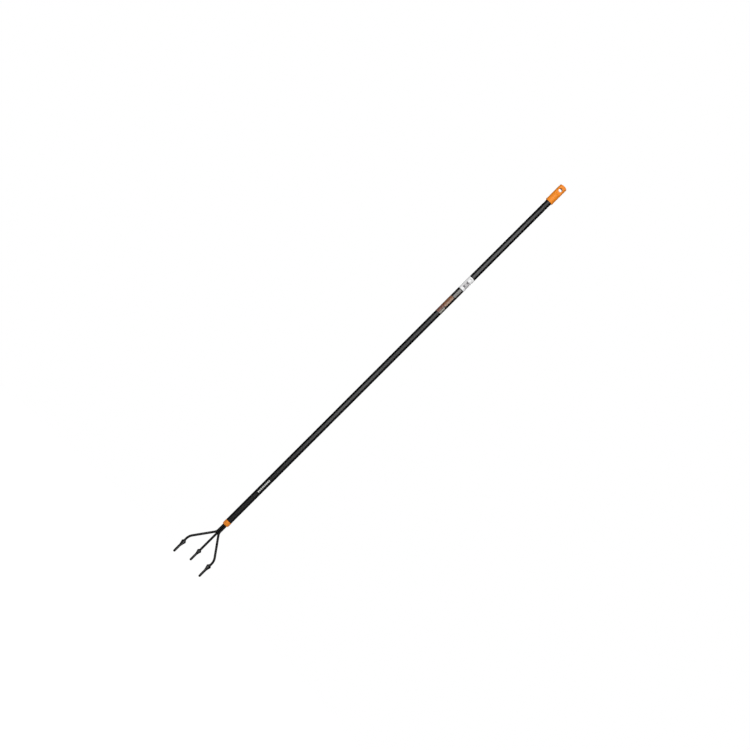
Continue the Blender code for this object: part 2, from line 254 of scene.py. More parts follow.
def growMesh(name, tree, sizes, start=None):
    # runs the tree once over the start mesh and keeps the plain result
    seed = addObject(name + "Seed", start or bpy.data.meshes.new(name + "Seed"))
    modifier = seed.modifiers.new("Grow", "NODES")
    modifier.node_group = tree
    for item in tree.interface.items_tree:
        if item.in_out == "INPUT" and item.name in sizes:
            modifier[item.identifier] = sizes[item.name]
    mesh = workedMesh(seed)
    bpy.data.objects.remove(seed)
    mesh.name = name
    return mesh


def chainMesh(name, points, closed=False):
    edges = [(i, i + 1) for i in range(len(points) - 1)]
    if closed:
        edges.append((len(points) - 1, 0))
    mesh = bpy.data.meshes.new(name)
    mesh.from_pydata(points, edges, [])
    return mesh


# Handle tube

handleTube = {
    "wall": 0.0009,
    "edge": 0.00025,  # rounding of the cut ends
    "support": (0.0006, 0.004),  # extra rings near the ends, so that the long walls shade straight
    "steps": 128,
}


def powderCoatedSteel():
    # black polyester powder coat on drawn steel tube: satin, with a fine orange peel that breaks up its
    # highlight
    material, add, place = newMaterial("powderCoatedSteel", "#1c1c1e")
    peel = add(noise, {"Vector": place, "Scale": 700.0, "Detail": 2.0})  # 1.4 mm peel
    drift = add(noise, {"Vector": place, "Scale": 14.0, "Detail": 3.0})  # 70 mm patches
    along = add("ShaderNodeMapping", {"Vector": place, "Scale": (900.0, 900.0, 11.0)})
    wearAndPaintedShade = add(noise, {"Vector": along, "Scale": 1.0, "Detail": 4.0})  # hand wear, drawn out along the handle
    rubbed = add(mapRange, (wearAndPaintedShade, 0.62, 0.74, 0.0, 0.05))
    satin = add(mapRange, (drift, 0.3, 0.7, 0.25, 0.3))
    worn = add(maths, (satin, rubbed), operation="ADD")
    tone = add(mix, {0: drift, 6: toLinear("#0b0b0c"), 7: toLinear("#111112")}, data_type="RGBA")
    return paint(material, tone, worn, (peel, 0.25, 0.00006), {"Specular IOR Level": 0.38})


def latheTree(material):
    # carries a wall's outline round a circle; the outline comes in as (0, distance from the circle, height)
    tree, add, given = newTree("turnedWall", {"Circle Radius": "Float", "Steps": "Int"})
    outline = add("GeometryNodeMeshToCurve", {"Mesh": given["Geometry"]})
    place = add(splitXYZ, (add(ownPosition),)).outputs
    down = add(maths, (place["Z"], -1.0), operation="MULTIPLY")
    flat = add(joinXYZ, {"X": place["Y"], "Y": down})
    laid = add(setPosition, {"Geometry": outline, "Position": flat})
    circle = add(circleCurve, {"Resolution": given["Steps"], "Radius": given["Circle Radius"]})
    return endTree(tree, add(curveToMesh, {"Curve": circle, "Profile Curve": laid}), material)


def makeHandleTube():
    sizes = handleTube
    material = powderCoatedSteel()
    half = sizes["wall"] / 2
    top, bottom, edge = shared["tubeTop"], shared["tubeBottom"], sizes["edge"]
    rows = [top - s for s in sizes["support"]] + [bottom + s for s in reversed(sizes["support"])]
    outline = arcPoints((half - edge, top - edge), edge, 90, 0, 4) + wallPoints(half, *rows)
    outline += arcPoints((half - edge, bottom + edge), edge, 0, -90, 4)
    outline += arcPoints((edge - half, bottom + edge), edge, 270, 180, 4)
    outline += wallPoints(-half, *reversed(rows)) + arcPoints((edge - half, top - edge), edge, 180, 90, 4)
    start = chainMesh("tubeOutline", [(0, across, height) for across, height in outline], closed=True)
    mesh = growMesh("handleTube", latheTree(material), {
        "Circle Radius": shared["tubeRadius"] - half, "Steps": sizes["steps"]}, start)
    tube = addObject("handleTube", mesh)
    carve(tube, [pinHoleCutter()])
    finishPiece(tube, material, "tube_coating", "handle_tube")


# End cap

endCap = {
    "radius": 0.0131033,
    "top": 0.0180,
    "dome": 0.0010,
    "corner": 0.0050,
    "mouth": -0.0497,
    "lipHeight": 0.005,
    "lipProud": 0.0002,
    "bore": 0.0108033,
    "boreFloor": -0.0207,
    "plugRadius": 0.0093033,
    "plugEnd": -0.0457,
    "hollowRadius": 0.0075033,
    "hollowTop": -0.0237,
    "cheekY": 0.0105033,
    "flatEnd": -0.0105,  # where a cheek starts to sweep back out
    "runOut": 0.007,
    "cheekEdge": 0.0020,  # softness of the cheek's edge
    "hole": 0.0058,
    "holeEdge": 0.0012,
    "rim": 0.0006,  # rounding of the mouth's outer edge
    "plugRim": 0.0004,
    "sharp": 0.0001,  # softening of every other corner
    "eyeRows": 36,
    "steps": 144,
    "holeSteps": 72,
}


def mouldedPolypropylene(name, pale, deep, viewColour, holeRadius=0):
    # orange polypropylene from a spark-eroded mould: an even colour, soft gloss, and a faint grain of 0.4 mm
    roughness, spread = 0.42, 0.04
    material, add, place = newMaterial(name, viewColour)
    grain = add(noise, {"Vector": place, "Scale": 2500.0, "Detail": 2.0})
    flow = add(noise, {"Vector": place, "Scale": 60.0, "Detail": 2.0, "Distortion": 0.6})
    fromSeam = add(maths, (add(splitXYZ, (place,)).outputs["Y"],), operation="ABSOLUTE")
    seam = add(mapRange, (fromSeam, 0.0, 0.00015, 1.0, 0.0))  # the mould's parting line, 0.15 mm wide
    height = add(maths, (seam, 2.0, grain), operation="MULTIPLY_ADD")
    tone = add(mix, {0: flow, 6: toLinear(deep), 7: toLinear(pale)}, data_type="RGBA")
    gloss = add(mapRange, (grain, 0.3, 0.7, roughness - spread, roughness + spread))
    if holeRadius:
        # painted shade: the hole's wall, which lies in shade, is painted a dark brown; it is also made matt
        flat = add(vectorMaths, (place, (1.0, 0.0, 1.0)), operation="MULTIPLY")
        fromHole = add(vectorMaths, (flat,), operation="LENGTH")
        wearAndPaintedShade = add(mapRange, (fromHole, holeRadius + 0.0002, holeRadius + 0.0009, 0.85, 0.0))
        tone = add(mix, {0: wearAndPaintedShade, 6: tone, 7: toLinear("#8a3f10")}, data_type="RGBA")
        gloss = add(maths, (wearAndPaintedShade, 0.5, gloss), operation="MULTIPLY_ADD")
    return paint(material, tone, gloss, (height, 0.4, 0.00005), {"Specular IOR Level": 0.32})


def makeEndCap():
    sizes = endCap
    radius, top, mouth, floor = sizes["radius"], sizes["top"], sizes["mouth"], sizes["boreFloor"]
    endRadius = radius - sizes["corner"]
    cornerZ = top - sizes["dome"] - sizes["corner"]
    lip = radius + sizes["lipProud"]
    lipTop = mouth + sizes["lipHeight"]
    bore, plug, hollow = sizes["bore"], sizes["plugRadius"], sizes["hollowRadius"]
    plugEnd, hollowTop = sizes["plugEnd"], sizes["hollowTop"]
    rim, plugRim, sharp = sizes["rim"], sizes["plugRim"], sizes["sharp"]
    cheekY, eyeRows = sizes["cheekY"], sizes["eyeRows"]
    depth = radius - cheekY + sizes["lipProud"]
    sweepRadius = (sizes["runOut"] ** 2 + depth ** 2) / (2 * depth)

    def cheekAt(z):
        below = sizes["flatEnd"] - z
        if below <= 0:
            return cheekY
        if below >= sizes["runOut"]:
            return radius * 2
        return cheekY + sweepRadius - math.sqrt(sweepRadius ** 2 - below ** 2)

    # down the outside to the mouth, up the bore, down the plug and up its hollow; the rows next to an edge
    # keep the walls' shading straight
    profile = [(endRadius * share, top - sizes["dome"] * share ** 2)
               for share in (0, 0.2, 0.4, 0.6, 0.8, 0.95)]
    profile += arcPoints((endRadius, cornerZ), sizes["corner"], 86, 0, 12)
    eyeEnd = sizes["flatEnd"] - sizes["runOut"]
    profile += [(radius, cornerZ + (eyeEnd - cornerZ) * i / eyeRows) for i in range(1, eyeRows + 1)]
    profile += wallPoints(radius, eyeEnd - 0.001, eyeEnd - 0.004, lipTop + 0.0025, lipTop + 0.0005)
    profile += [(radius + 0.00003, lipTop + 0.00035), (lip - 0.00003, lipTop + sharp)]
    profile += wallPoints(lip, lipTop - sharp, lipTop - 0.0006, mouth + 0.0012)
    profile += arcPoints((lip - rim, mouth + rim), rim, 0, -90, 5)
    profile += [(bore + 0.0004, mouth), (bore + sharp, mouth + sharp)]
    profile += wallPoints(bore, mouth + 0.0004, mouth + 0.001, floor - 0.0005, floor - sharp)
    profile += [(bore - sharp, floor), (plug + sharp, floor)]
    profile += wallPoints(plug, floor - sharp, floor - 0.0006, plugEnd + 0.001)
    profile += arcPoints((plug - plugRim, plugEnd + plugRim), plugRim, 0, -90, 3)
    profile += [(hollow + sharp, plugEnd)]
    profile += wallPoints(hollow, plugEnd + sharp, plugEnd + 0.0006, hollowTop - 0.0006)
    profile += [(hollow - 0.0002, hollowTop), (hollow * 0.5, hollowTop), (0, hollowTop)]

    outerCount = next(i for i, (r, z) in enumerate(profile) if r < lip and z <= mouth + 1e-9)
    rings = turnedRings(profile, sizes["steps"])
    soft = sizes["cheekEdge"]
    for ring in rings[1:outerCount]:
        for point in ring:
            # smooth minimum of the round cap and the flat cheek, which rounds the edge between them
            away = math.hypot(point.x, point.y)
            flat = cheekAt(point.z) * away / max(abs(point.y), 1e-9)
            share = max(soft - abs(away - flat), 0.0) / soft
            near = min(away, flat) - share * share * soft / 4
            point.x *= near / away
            point.y *= near / away
    cap = addObject("endCap", skinRings("endCap", rings))

    # the hanging hole widens in an arc towards each cheek
    hole, edge = sizes["hole"], sizes["holeEdge"]
    flare = [(hole + edge - edge * math.sin(math.radians(a)), edge * (1 - math.cos(math.radians(a))))
             for a in (12, 25, 38, 51, 64, 77, 90)]
    side = [(r, cheekY - edge + (edge - d) - 0.00002) for r, d in flare]
    outside, mouthEdge = 0.02, side[0][0]
    outline = [(0, outside), (mouthEdge + 0.0002, outside), (mouthEdge + 0.0001, cheekY + 0.0004)] + side
    outline += [(r, -z) for r, z in reversed(outline)]
    cutter = skinRings("holeCutter", turnedRings(outline, sizes["holeSteps"]))
    carve(cap, [addObject("holeCutter", cutter, Matrix.Rotation(math.pi / 2, 4, "X"))])
    material = mouldedPolypropylene("mouldedPolypropylene", "#fa9422", "#f3881b", "#f68e1e", hole)
    finishPiece(cap, material, "cap_plastic", "end_cap")


# Ferrule

ferrule = {
    "collarRadius": 0.0109033,
    "collarEndRadius": 0.0094033,
    "edge": 0.0004,
    "shoulder": 0.003,
    "shoulderSteps": 9,
    "sleeveRadius": 0.0093033,
    "sleeveTop": -1.3908,
    "leadIn": 0.002,
    "boreRadius": 0.00405,
    "core": 0.0022517,
    "steps": 128,
}


def makeFerrule():
    sizes = ferrule
    top, bottom = shared["collarTop"], shared["collarBottom"]
    collar, sleeve, edge = sizes["collarRadius"], sizes["sleeveRadius"], sizes["edge"]
    sleeveTop, shoulder, collarEnd = sizes["sleeveTop"], sizes["shoulder"], sizes["collarEndRadius"]
    profile = [(0, sleeveTop), (sleeve * 0.6, sleeveTop), (sleeve - 0.0005, sleeveTop)]
    profile += [(sleeve - 0.00035, sleeveTop - 0.0002)]
    profile += wallPoints(sleeve, sleeveTop - sizes["leadIn"], sleeveTop - 0.004, top + 0.001, top + 0.0001)
    profile += [(sleeve + 0.0001, top), (collar - edge - 0.0001, top)]
    profile += arcPoints((collar - edge, top - edge), edge, 90, 0, 5)
    profile += wallPoints(collar, top - 0.0012, bottom + shoulder + 0.001)
    # the shoulder turns in towards the rods
    for i in range(1, sizes["shoulderSteps"] + 1):
        a = math.radians(90 * i / sizes["shoulderSteps"])
        inward = (collar - collarEnd) * (1 - math.cos(a)) * 0.85
        profile.append((collar - inward, bottom + shoulder * (1 - math.sin(a))))
    profile += [(collarEnd - 0.0004, bottom), (0, bottom)]
    piece = addObject("collarFerrule", skinRings("collarFerrule", turnedRings(profile, sizes["steps"])))
    cutters = [pinHoleCutter()]
    bores = (
        (sizes["boreRadius"], -shared["rodX"], shared["frontY"]),
        (sizes["boreRadius"], shared["rodX"], shared["frontY"]),
        (sizes["boreRadius"], 0, shared["middleY"]),
        (sizes["core"], 0, 0),
    )
    past = 0.02  # how far the cutters stand out at each end
    for i, (radius, x, y) in enumerate(bores):
        # turned a little, so that no two bores share an edge
        turn = Matrix.Translation((x, y, 0)) @ Matrix.Rotation(math.radians(1.3 + 1.1 * i), 4, "Z")
        cutters.append(rodCutter("boreCutter", radius, bottom - past, sleeveTop + past, turn))
    carve(piece, cutters)
    # painted shade: a darker copy of the cap's orange, standing for the lesser light on the collar
    material = mouldedPolypropylene("mouldedCollarPolypropylene", "#e9881f", "#e17f19", "#e5841c")
    finishPiece(piece, material, "ferrule_plastic", "ferrule")


# Roll pin

rollPin = {
    "radius": 0.0015,
    "wall": 0.0005,
    "slot": 40,  # degrees
    "chamfer": 0.0003,
    "chamferLength": 0.0006,
    "steps": 32,
}


def rolledSpringSteel():
    # plain spring steel strip, rolled and oiled: grey, fairly smooth, with fine lines along the strip
    material, add, place = newMaterial("rolledSpringSteel", "#8a8784")
    lines = add("ShaderNodeMapping", {"Vector": place, "Scale": (60.0, 6000.0, 6000.0)})
    rolled = add(noise, {"Vector": lines, "Scale": 1.0, "Detail": 3.0})
    tone = add(mix, {0: rolled, 6: toLinear("#8b8885"), 7: toLinear("#a8a5a1")}, data_type="RGBA")
    rough = add(mapRange, (rolled, 0.3, 0.7, 0.28, 0.42))
    return paint(material, tone, rough, (rolled, 0.2, 0.00002), {"Metallic": 1.0})


def makeRollPin():
    sizes = rollPin
    half = math.sqrt(shared["tubeRadius"] ** 2 - shared["frontY"] ** 2) - shared["fitGap"]
    inner = half - sizes["chamferLength"]
    first, last = sizes["slot"] / 2, 360 - sizes["slot"] / 2
    rings = []
    for x, shrink in ((-half, sizes["chamfer"]), (-inner, 0), (inner, 0), (half, sizes["chamfer"])):
        outline = arcPoints((0, 0), sizes["radius"] - shrink, first, last, sizes["steps"])
        outline += arcPoints((0, 0), sizes["radius"] - sizes["wall"], last, first, sizes["steps"])
        rings.append([(x, shared["frontY"] + y, shared["pinZ"] + z) for y, z in outline])
    pin = addObject("rollPin", skinRings("rollPin", rings))
    pin.data.set_sharp_from_angle(angle=shared["sharpTurn"])
    finishPiece(pin, rolledSpringSteel(), "spring_steel", "roll_pin")


# Tines

tines = {
    "neckLength": 0.032,
    "neckBend": 0.022,
    "splayAngle": 35.7,
    "spread": 0.0556,
    "splayBend": 0.034,
    "outerShank": 0.0068,
    "middleShank": 0.1063,
    "hookRadius": 0.038,
    "hookTurn": 132,
    "toeIn": 1.1,
    "outerLeg": 0.081,
    "middleLeg": 0.072,
    "arcStep": 3,
    "sides": 40,
    "spacing": 0.0012,
    "forgeDepth": 0.00016,
}

forgedPoint = {
    "outerLength": 0.048,
    "middleLength": 0.040,
    "outerWidth": 0.0160,
    "middleWidth": 0.0148,
    "thickness": 0.0040,
    "widest": 0.64,  # how far along the point it is widest
    "flare": 1.25,  # how hollow its flanks are: 1 is straight
    "tipWidth": 0.0018,
    "tipThickness": 0.0016,
    "lens": 1.7,  # power of the section's crown: 2 is a parabola, 1 a ridge
    "curveSteps": 28,
}


def coatedForgedSteel():
    # forged steel rod under a black electro-coat: semi-gloss, hammer marks under the coat, thin at the edges
    material, add, place = newMaterial("coatedForgedSteel", "#151515")
    scale = add(noise, {"Vector": place, "Scale": 420.0, "Detail": 3.0})  # 2.4 mm scale marks
    pits = add("ShaderNodeTexVoronoi", {"Vector": place, "Scale": 900.0})
    wear = add("ShaderNodeAttribute", attribute_name="wear")
    broken = add(maths, (wear.outputs["Fac"], scale), operation="MULTIPLY")
    bare = add(mapRange, (broken, 0.45, 0.65, 0.0, 0.3))
    coat = add(mix, {0: scale, 6: toLinear("#060606"), 7: toLinear("#0b0b0c")}, data_type="RGBA")
    tone = add(mix, {0: bare, 6: coat, 7: toLinear("#4a4846")}, data_type="RGBA")
    rough = add(mapRange, (scale, 0.3, 0.7, 0.27, 0.36))
    pitted = add(maths, (pits, 0.35, scale), operation="MULTIPLY_ADD")
    return paint(material, tone, rough, (pitted, 0.35, 0.00012), {"Specular IOR Level": 0.32})


def roundedPath(corners, radii):
    # points along a rod: straight runs between the corners, each corner rounded to its radius
    path = [corners[0]]
    for i, radius in enumerate(radii, start=1):
        before = (corners[i] - corners[i - 1]).normalized()
        after = (corners[i + 1] - corners[i]).normalized()
        turn = before.angle(after)
        axis = before.cross(after).normalized()
        start = corners[i] - before * radius * math.tan(turn / 2)
        centre = start + axis.cross(before) * radius
        count = math.ceil(math.degrees(turn) / tines["arcStep"])
        for k in range(count + 1):
            path.append(centre + Matrix.Rotation(turn * k / count, 3, axis) @ (start - centre))
    path.append(corners[-1])
    return path


def pointShares(along, width):
    # half width and half thickness of a forged point as shares of the rod's radius, from 0 at the rod to 1 at
    # the tip
    sizes, rod = forgedPoint, shared["rodRadius"]
    if along < sizes["widest"]:
        share = along / sizes["widest"]
        halfWidth = rod + (width / 2 - rod) * share ** sizes["flare"]
        return halfWidth / rod, (rod + (sizes["thickness"] / 2 - rod) * ease(share)) / rod
    share = (along - sizes["widest"]) / (1 - sizes["widest"])
    halfWidth = (width + (sizes["tipWidth"] - width) * share) / 2
    halfThickness = (sizes["thickness"] + (sizes["tipThickness"] - sizes["thickness"]) * share) / 2
    return halfWidth / rod, halfThickness / rod


def shareCurve(tree, value, shares, highest):
    # a Float Curve node through the given shares, which it holds as parts of the highest one
    node = addNode(tree, "ShaderNodeFloatCurve", {"Value": value})
    points = node.mapping.curves[0].points
    for i, (along, share) in enumerate(shares):
        if i < 2:
            points[i].location = (along, share / highest)
        else:
            points.new(along, share / highest)
    node.mapping.update()
    return addNode(tree, maths, (node, highest), operation="MULTIPLY")


def tineTree(name, width, material):
    # a round rod along the path, whose end is flattened and spread into a forged leaf point
    tree, add, given = newTree(name, {
        "Spacing": "Float", "Sides": "Int", "Rod Radius": "Float", "Point Length": "Float",
        "Across": "Vector", "Lens": "Float", "Forge Depth": "Float"})
    across = given["Across"]
    path = add("GeometryNodeMeshToCurve", {"Mesh": given["Geometry"]})
    even = add("GeometryNodeResampleCurve", {"Curve": path, "Length": given["Spacing"]}, mode="LENGTH")
    place = add(ownPosition).outputs[0]
    direction = add("GeometryNodeInputTangent").outputs[0]
    reach = add("GeometryNodeSplineParameter").outputs["Length"]
    toTip = add(maths, (add("GeometryNodeSplineLength"), reach), operation="SUBTRACT").outputs[0]
    rod, kept, unit = sweepCircle(tree, even, given["Rod Radius"], given["Sides"], {
        "Centre": place, "Direction": direction, "To Tip": toTip})

    along = add(mapRange, (kept["To Tip"], given["Point Length"], 0.0))
    steps = [i / forgedPoint["curveSteps"] for i in range(forgedPoint["curveSteps"] + 1)]
    wide = shareCurve(tree, along, [(a, pointShares(a, width)[0]) for a in steps], 3.0)
    thick = shareCurve(tree, along, [(a, pointShares(a, width)[1]) for a in steps], 1.0)

    faceNormal = add(vectorMaths, (kept["Direction"], across), operation="CROSS_PRODUCT")
    side = add(vectorMaths, (unit, across), operation="DOT_PRODUCT")
    rise = add(vectorMaths, (unit, faceNormal), operation="DOT_PRODUCT")

    # the section goes from a circle to a lens as the rod is flattened
    nearEdge = add(maths, (side,), operation="ABSOLUTE")
    crowned = add(maths, (nearEdge, given["Lens"]), operation="POWER")
    lens = add(maths, (1.0, crowned), operation="SUBTRACT")
    lensRise = add(maths, (lens, add(maths, (rise,), operation="SIGN")), operation="MULTIPLY")
    flattened = add(mapRange, (along, 0.1, 0.6), interpolation_type="SMOOTHSTEP")
    section = add(mix, {0: flattened, 2: rise, 3: lensRise})

    sideways = add(maths, (side, wide), operation="MULTIPLY")
    upwards = add(maths, (section, thick), operation="MULTIPLY")
    acrossPart = add(vectorMaths, {0: across, "Scale": sideways}, operation="SCALE")
    facePart = add(vectorMaths, {0: faceNormal, "Scale": upwards}, operation="SCALE")
    shape = add(vectorMaths, (acrossPart, facePart), operation="ADD")
    sized = add(vectorMaths, {0: shape, "Scale": given["Rod Radius"]}, operation="SCALE")
    target = add(vectorMaths, (kept["Centre"], sized), operation="ADD")
    inPoint = add(maths, (along, 0.0001), operation="GREATER_THAN")
    pressed = add(setPosition, {"Geometry": rod, "Selection": inPoint, "Position": target})

    # hammer marks, only inwards so that the tine stays within its solid
    marks = add(noise, {"Vector": place, "Scale": 170.0, "Detail": 1.0})
    depth = add(maths, (marks, given["Forge Depth"]), operation="MULTIPLY")
    inwards = add(maths, (depth, -1.0), operation="MULTIPLY")
    local = add(maths, (inwards, flattened), operation="MULTIPLY")
    dent = add(vectorMaths, {0: unit, "Scale": local}, operation="SCALE")
    forged = add(setPosition, {"Geometry": pressed, "Offset": dent})

    # the coat wears first along the edges and at the tip
    edgeWear = add(maths, (nearEdge, 6.0), operation="POWER")
    edgeHere = add(maths, (edgeWear, flattened), operation="MULTIPLY")
    tipWear = add(maths, (along, 9.0), operation="POWER")
    worn = add(maths, (edgeHere, tipWear), operation="MAXIMUM")
    marked = add("GeometryNodeStoreNamedAttribute", {"Geometry": forged, "Name": "wear", "Value": worn},
                 data_type="FLOAT", domain="POINT")
    return endTree(tree, marked, material)


def hookCorners(start, forward, leg):
    turn = math.radians(tines["hookTurn"])
    reach = tines["hookRadius"] * math.tan(turn / 2)
    corner = start - Vector((0, 0, reach))
    return [corner, corner + (forward * math.sin(turn) - Vector((0, 0, math.cos(turn)))) * (reach + leg)]


def makeTine(name, corners, radii, across, length, tree, material, nodeName, cutters):
    start = chainMesh(name + "Path", roundedPath(corners, radii))
    mesh = growMesh(name, tree, {
        "Spacing": tines["spacing"], "Sides": tines["sides"], "Rod Radius": shared["rodRadius"],
        "Point Length": length, "Across": across, "Lens": forgedPoint["lens"],
        "Forge Depth": tines["forgeDepth"]}, start)
    tine = addObject(name, mesh)
    if cutters:
        carve(tine, cutters)
    else:
        tine.data.set_sharp_from_angle(angle=math.radians(50))
    finishPiece(tine, material, "tine_coating", nodeName)


def makeTines():
    sizes = tines
    material = coatedForgedSteel()
    outerTree = tineTree("outerTine", forgedPoint["outerWidth"], material)
    middleTree = tineTree("middleTine", forgedPoint["middleWidth"], material)
    base, rodX, frontY = shared["collarBottom"], shared["rodX"], shared["frontY"]
    splay, toeIn = math.radians(sizes["splayAngle"]), math.radians(sizes["toeIn"])
    splayZ = base - sizes["neckLength"] - (sizes["spread"] - rodX) / math.tan(splay)
    bendEnd = sizes["splayBend"] * math.tan(splay / 2)
    for name, side in (("Left", -1), ("Right", 1)):
        spread = side * sizes["spread"]
        hookStart = Vector((spread, frontY, splayZ - bendEnd - sizes["outerShank"]))
        forward = Vector((-side * math.sin(toeIn), -math.cos(toeIn), 0))
        corners = [
            Vector((side * rodX, frontY, shared["rodTop"])),
            Vector((side * rodX, frontY, base - sizes["neckLength"])),
            Vector((spread, frontY, splayZ)),
            *hookCorners(hookStart, forward, sizes["outerLeg"]),
        ]
        radii = [sizes["neckBend"], sizes["splayBend"], sizes["hookRadius"]]
        across = (math.cos(toeIn), -side * math.sin(toeIn), 0.0)
        makeTine("tine" + name, corners, radii, across, forgedPoint["outerLength"], outerTree, material,
                 "tine_" + name.lower(), [pinHoleCutter()])
    hookStart = Vector((0, shared["middleY"], base - sizes["middleShank"]))
    corners = [Vector((0, shared["middleY"], shared["rodTop"])),
               *hookCorners(hookStart, Vector((0, -1, 0)), sizes["middleLeg"])]
    makeTine("tineMiddle", corners, [sizes["hookRadius"]], (1.0, 0.0, 0.0), forgedPoint["middleLength"],
             middleTree, material, "tine_middle", [])
    return material


# Weld beads

weldBead = {
    "top": -1.4697,
    "bottom": -1.4904,
    "grooveX": 0.00195,
    "grooveY": 0.0011258,
    "outward": 0.0016,  # from the groove's middle to the bead's own axis
    "radius": 0.00175,
    "ripple": 0.00022,
    "pitch": 0.0013,  # one ripple for each pause of the welding gun
    "rows": 110,
    "sides": 28,
}


def weldTree(material):
    # a bead with rounded ends whose ripples curve like fish scales
    tree, add, given = newTree("weldRipples", {
        "Top": "Vector", "Bottom": "Vector", "Outward": "Vector", "Bead Radius": "Float",
        "Ripple": "Float", "Pitch": "Float", "Seed": "Int"})
    line = add("GeometryNodeCurvePrimitiveLine", {"Start": given["Top"], "End": given["Bottom"]})
    even = add("GeometryNodeResampleCurve", {"Curve": line, "Count": weldBead["rows"]}, mode="COUNT")
    place = add(ownPosition).outputs[0]
    along = add("GeometryNodeSplineParameter").outputs
    bead, kept, unit = sweepCircle(tree, even, given["Bead Radius"], weldBead["sides"], {
        "Centre": place, "Share": along["Factor"], "Reach": along["Length"]})
    facing = add(vectorMaths, (unit, given["Outward"]), operation="DOT_PRODUCT")
    lag = add(maths, (facing, given["Pitch"]), operation="MULTIPLY")
    wave = add(maths, (kept["Reach"], lag), operation="ADD")
    turns = add(maths, (wave, given["Pitch"]), operation="DIVIDE")
    phase = add(maths, (turns, math.pi), operation="MULTIPLY")
    scallop = add(maths, (add(maths, (phase,), operation="SINE"),), operation="ABSOLUTE")
    ripple = add(maths, (scallop, given["Ripple"]), operation="MULTIPLY")
    rough = add(noise, {"W": given["Seed"], "Vector": place, "Scale": 500.0}, noise_dimensions="4D")
    uneven = add(maths, (rough, given["Ripple"], ripple), operation="MULTIPLY_ADD")

    # the ends close in a quarter round
    centred = add(mapRange, {"Value": kept["Share"], "To Min": -1.0, "To Max": 1.0})
    away = add(maths, (centred,), operation="ABSOLUTE")
    steep = add(maths, (away, 9.0), operation="POWER")
    left = add(maths, (1.0, steep), operation="SUBTRACT")
    rounded = add(maths, (left, 0.5), operation="POWER")
    taper = add(maths, (rounded, 0.12), operation="MAXIMUM")
    reach = add(maths, (given["Bead Radius"], uneven), operation="SUBTRACT")
    sized = add(maths, (reach, taper), operation="MULTIPLY")
    offset = add(vectorMaths, {0: unit, "Scale": sized}, operation="SCALE")
    target = add(vectorMaths, (kept["Centre"], offset), operation="ADD")
    return endTree(tree, add(setPosition, {"Geometry": bead, "Position": target}), material)


def makeWelds(material):
    sizes = weldBead
    tree = weldTree(material)
    for name, side, seed in (("Left", -1, 3), ("Right", 1, 8)):
        groove = Vector((side * sizes["grooveX"], sizes["grooveY"], 0))
        outward = groove.normalized()
        centre = groove + outward * sizes["outward"]
        mesh = growMesh("weld" + name, tree, {
            "Top": (centre.x, centre.y, sizes["top"]), "Bottom": (centre.x, centre.y, sizes["bottom"]),
            "Outward": tuple(outward), "Bead Radius": sizes["radius"], "Ripple": sizes["ripple"],
            "Pitch": sizes["pitch"], "Seed": seed})
        finishPiece(addObject("weld" + name, mesh), material, "tine_coating", "weld_bead_" + name.lower())


# Labels

labels = {
    "inner": 0.00002,  # above the tube
    "outer": 0.00020,
    "edge": 0.00004,  # softening of the film's cut edge
    "corner": 0.003,
    "step": 2.5,  # degrees
    "inkRound": 0.6,  # rounding of a printed block's corners, in mm
    "inkEdge": 0.15,  # blur of its outline, in mm
}

# Generic print, some of whose pale strips also stand for a painted highlight: each block's middle across and
# down from the label's top, its width and height in mm, and the two tints that its ink is striped with
wrapLabel = {
    "top": -0.3852,
    "length": 0.0483,
    "turn": 325,
    "print": [
        (-0.5, -6.0, 4.5, 1.5, "#68696d", "#6e6f73"),
        (2.4, -28.3, 15.4, 22.5, "#bcbabb", "#c2c0c1"),
        *[(3.0, down, 12.0, 1.2, "#a6a4a5", "#aaa8a9") for down in (-18.6, -24.6, -28.2, -31.8, -38.2)],
        (0.0, -21.0, 6.5, 5.5, "#565458", "#5a585c"),
        (0.0, -35.4, 6.5, 5.5, "#626064", "#666468"),
    ],
}

printedLabel = {
    "top": -0.4347,
    "length": 0.0990,
    "turn": 250,
    "print": [
        # pale block down the front's middle: print with dark bars, its paleness partly a painted highlight
        (1.2, -17.0, 9.0, 31.0, "#7b7976", "#82807c"),
        *[(1.2, down, 7.0, 0.8, "#55534f", "#55534f") for down in (-9.0, -17.0, -25.0)],
        (-6.0, -53.0, 15.0, 37.5, "#5d3620", "#8f6144"),
        # pale strip down the front's middle: print, partly a painted highlight
        (1.6, -53.0, 5.4, 36.0, "#866650", "#a68a75"),
        (-6.5, -85.5, 14.0, 26.5, "#553025", "#885d4f"),
        (4.9, -87.0, 5.4, 22.0, "#918d84", "#a5a198"),
        *[(4.9, down, 4.0, 0.8, "#5c5952", "#5c5952") for down in (-80.0, -94.0)],
    ],
}


